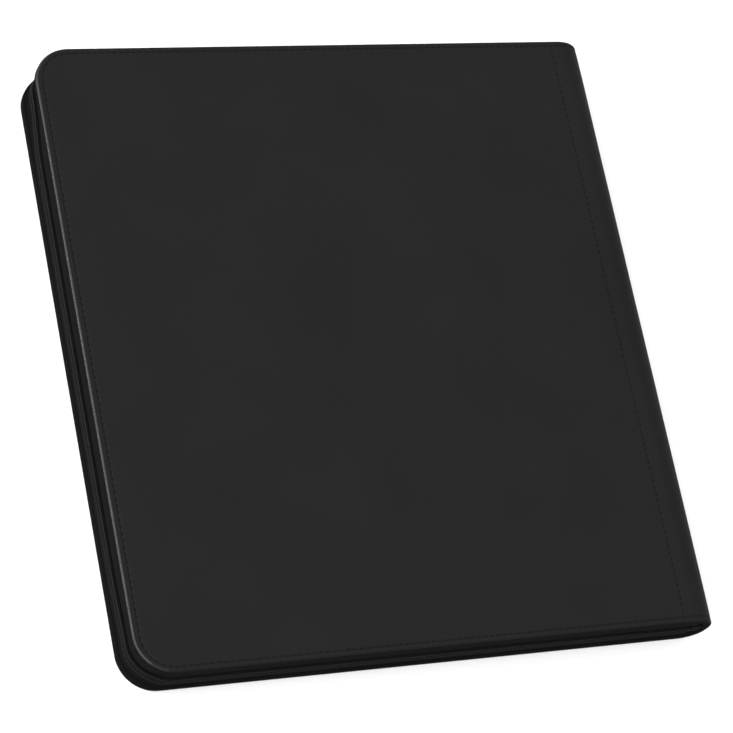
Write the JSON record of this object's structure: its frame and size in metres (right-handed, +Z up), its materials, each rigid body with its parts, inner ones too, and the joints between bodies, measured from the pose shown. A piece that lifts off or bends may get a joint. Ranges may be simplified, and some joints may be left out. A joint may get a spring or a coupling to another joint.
{
  "type": "trading card binder",
  "caption": "Zip-around card binder with padded leatherette covers, a rounded spine and hinged side-loading pocket pages.",
  "frame": {"origin": "centre of the closed binder's bounding box, on the surface it lies on", "axes": "+Z up through the closed binder, +Y from tail to head, +X from the fore-edge towards the spine"},
  "size_m": [0.3232, 0.3452, 0.034],
  "materials": {
    "charcoal_leatherette": "fine-grained, satin",
    "padding_foam": "matte",
    "grey_board": "matte",
    "lining_cloth": "brushed, matte",
    "zip_tape": "woven, matte",
    "zip_coil": "satin nylon",
    "dark_zip_metal": "gunmetal, satin",
    "page_film": "clear film over black",
    "binding_strip": "satin"
  },
  "bodies": {
    "back_cover": {"back_cover_skin": "charcoal_leatherette", "back_foam_pad": "padding_foam", "back_board": "grey_board", "back_lining": "lining_cloth", "lower_zip_tape": "zip_tape", "lower_zip_coil": "zip_coil", "lower_zip_end_tab": "charcoal_leatherette", "zip_top_stop_lower": "dark_zip_metal"},
    "spine": {"spine_skin": "charcoal_leatherette", "spine_board": "grey_board", "spine_lining": "lining_cloth", "page_binding_strip": "binding_strip"},
    "front_cover": {"front_cover_skin": "charcoal_leatherette", "front_foam_pad": "padding_foam", "front_board": "grey_board", "front_lining": "lining_cloth", "upper_zip_tape": "zip_tape", "upper_zip_coil": "zip_coil", "upper_zip_end_tab": "charcoal_leatherette", "zip_top_stop_upper": "dark_zip_metal"},
    "slider": {"zip_slider_body": "dark_zip_metal"},
    "pull": {"zip_pull": "dark_zip_metal"},
    "leaf_01": {"page_01": "page_film"},
    "leaf_02": {"page_02": "page_film"},
    "leaf_03": {"page_03": "page_film"},
    "leaf_04": {"page_04": "page_film"},
    "leaf_05": {"page_05": "page_film"},
    "leaf_06": {"page_06": "page_film"},
    "leaf_07": {"page_07": "page_film"},
    "leaf_08": {"page_08": "page_film"},
    "leaf_09": {"page_09": "page_film"},
    "leaf_10": {"page_10": "page_film"},
    "leaf_11": {"page_11": "page_film"},
    "leaf_12": {"page_12": "page_film"},
    "leaf_13": {"page_13": "page_film"},
    "leaf_14": {"page_14": "page_film"},
    "leaf_15": {"page_15": "page_film"},
    "leaf_16": {"page_16": "page_film"},
    "leaf_17": {"page_17": "page_film"},
    "leaf_18": {"page_18": "page_film"},
    "leaf_19": {"page_19": "page_film"},
    "leaf_20": {"page_20": "page_film"}
  },
  "joints": [
    {"name": "spine_hinge", "type": "hinge", "parent": "back_cover", "child": "spine", "pos_m": [0.158, -0.00208, 0.0036], "axis": [0, 1, 0], "range_deg": [0, 90]},
    {"name": "cover_hinge", "type": "hinge", "parent": "spine", "child": "front_cover", "pos_m": [0.15647, -0.00208, 0.02887], "axis": [0, 1, 0], "range_deg": [0, 90]},
    {"name": "leaf_01_turn", "type": "hinge", "parent": "spine", "child": "leaf_01", "pos_m": [0.1497, -0.00208, 0.00665], "axis": [0, 1, 0], "range_deg": [-86, 0]},
    {"name": "leaf_02_turn", "type": "hinge", "parent": "spine", "child": "leaf_02", "pos_m": [0.1497, -0.00208, 0.00774], "axis": [0, 1, 0], "range_deg": [-78, 0]},
    {"name": "leaf_03_turn", "type": "hinge", "parent": "spine", "child": "leaf_03", "pos_m": [0.1497, -0.00208, 0.00883], "axis": [0, 1, 0], "range_deg": [-70, 0]},
    {"name": "leaf_04_turn", "type": "hinge", "parent": "spine", "child": "leaf_04", "pos_m": [0.1497, -0.00208, 0.00992], "axis": [0, 1, 0], "range_deg": [-62, 0]},
    {"name": "leaf_05_turn", "type": "hinge", "parent": "spine", "child": "leaf_05", "pos_m": [0.1497, -0.00208, 0.01101], "axis": [0, 1, 0], "range_deg": [-54, 0]},
    {"name": "leaf_06_turn", "type": "hinge", "parent": "spine", "child": "leaf_06", "pos_m": [0.1497, -0.00208, 0.0121], "axis": [0, 1, 0], "range_deg": [-46, 0]},
    {"name": "leaf_07_turn", "type": "hinge", "parent": "spine", "child": "leaf_07", "pos_m": [0.1497, -0.00208, 0.01319], "axis": [0, 1, 0], "range_deg": [-38, 0]},
    {"name": "leaf_08_turn", "type": "hinge", "parent": "spine", "child": "leaf_08", "pos_m": [0.1497, -0.00208, 0.01428], "axis": [0, 1, 0], "range_deg": [-30, 0]},
    {"name": "leaf_09_turn", "type": "hinge", "parent": "spine", "child": "leaf_09", "pos_m": [0.1497, -0.00208, 0.01537], "axis": [0, 1, 0], "range_deg": [-22, 0]},
    {"name": "leaf_10_turn", "type": "hinge", "parent": "spine", "child": "leaf_10", "pos_m": [0.1497, -0.00208, 0.01646], "axis": [0, 1, 0], "range_deg": [-14, 0]},
    {"name": "leaf_11_turn", "type": "hinge", "parent": "spine", "child": "leaf_11", "pos_m": [0.1497, -0.00208, 0.01754], "axis": [0, 1, 0], "range_deg": [-6, 0]},
    {"name": "leaf_12_turn", "type": "hinge", "parent": "spine", "child": "leaf_12", "pos_m": [0.1497, -0.00208, 0.01863], "axis": [0, 1, 0], "range_deg": [0, 2]},
    {"name": "leaf_13_turn", "type": "hinge", "parent": "spine", "child": "leaf_13", "pos_m": [0.1497, -0.00208, 0.01972], "axis": [0, 1, 0], "range_deg": [0, 10]},
    {"name": "leaf_14_turn", "type": "hinge", "parent": "spine", "child": "leaf_14", "pos_m": [0.1497, -0.00208, 0.02081], "axis": [0, 1, 0], "range_deg": [0, 18]},
    {"name": "leaf_15_turn", "type": "hinge", "parent": "spine", "child": "leaf_15", "pos_m": [0.1497, -0.00208, 0.0219], "axis": [0, 1, 0], "range_deg": [0, 26]},
    {"name": "leaf_16_turn", "type": "hinge", "parent": "spine", "child": "leaf_16", "pos_m": [0.1497, -0.00208, 0.02299], "axis": [0, 1, 0], "range_deg": [0, 34]},
    {"name": "leaf_17_turn", "type": "hinge", "parent": "spine", "child": "leaf_17", "pos_m": [0.1497, -0.00208, 0.02408], "axis": [0, 1, 0], "range_deg": [0, 42]},
    {"name": "leaf_18_turn", "type": "hinge", "parent": "spine", "child": "leaf_18", "pos_m": [0.1497, -0.00208, 0.02517], "axis": [0, 1, 0], "range_deg": [0, 50]},
    {"name": "leaf_19_turn", "type": "hinge", "parent": "spine", "child": "leaf_19", "pos_m": [0.1497, -0.00208, 0.02626], "axis": [0, 1, 0], "range_deg": [0, 58]},
    {"name": "leaf_20_turn", "type": "hinge", "parent": "spine", "child": "leaf_20", "pos_m": [0.1497, -0.00208, 0.02735], "axis": [0, 1, 0], "range_deg": [0, 66]},
    {"name": "zip_slide", "type": "slide", "parent": "back_cover", "child": "slider", "axis": [-1, 0, 0], "range_m": [0, 0.272]},
    {"name": "pull_swing", "type": "hinge", "parent": "slider", "child": "pull", "pos_m": [0.1419, 0.17083, 0.017], "axis": [0, 0, -1], "range_deg": [0, 180]}
  ],
  "couplings": [
    {"joint": "cover_hinge", "follows": "spine_hinge", "ratio": 1},
    {"joint": "leaf_01_turn", "follows": "spine_hinge", "ratio": -0.95556},
    {"joint": "leaf_02_turn", "follows": "spine_hinge", "ratio": -0.86667},
    {"joint": "leaf_03_turn", "follows": "spine_hinge", "ratio": -0.77778},
    {"joint": "leaf_04_turn", "follows": "spine_hinge", "ratio": -0.68889},
    {"joint": "leaf_05_turn", "follows": "spine_hinge", "ratio": -0.6},
    {"joint": "leaf_06_turn", "follows": "spine_hinge", "ratio": -0.51111},
    {"joint": "leaf_07_turn", "follows": "spine_hinge", "ratio": -0.42222},
    {"joint": "leaf_08_turn", "follows": "spine_hinge", "ratio": -0.33333},
    {"joint": "leaf_09_turn", "follows": "spine_hinge", "ratio": -0.24444},
    {"joint": "leaf_10_turn", "follows": "spine_hinge", "ratio": -0.15555},
    {"joint": "leaf_11_turn", "follows": "spine_hinge", "ratio": -0.066666},
    {"joint": "leaf_12_turn", "follows": "spine_hinge", "ratio": 0.022222},
    {"joint": "leaf_13_turn", "follows": "spine_hinge", "ratio": 0.11111},
    {"joint": "leaf_14_turn", "follows": "spine_hinge", "ratio": 0.2},
    {"joint": "leaf_15_turn", "follows": "spine_hinge", "ratio": 0.28889},
    {"joint": "leaf_16_turn", "follows": "spine_hinge", "ratio": 0.37778},
    {"joint": "leaf_17_turn", "follows": "spine_hinge", "ratio": 0.46667},
    {"joint": "leaf_18_turn", "follows": "spine_hinge", "ratio": 0.55556},
    {"joint": "leaf_19_turn", "follows": "spine_hinge", "ratio": 0.64444},
    {"joint": "leaf_20_turn", "follows": "spine_hinge", "ratio": 0.73333}
  ]
}
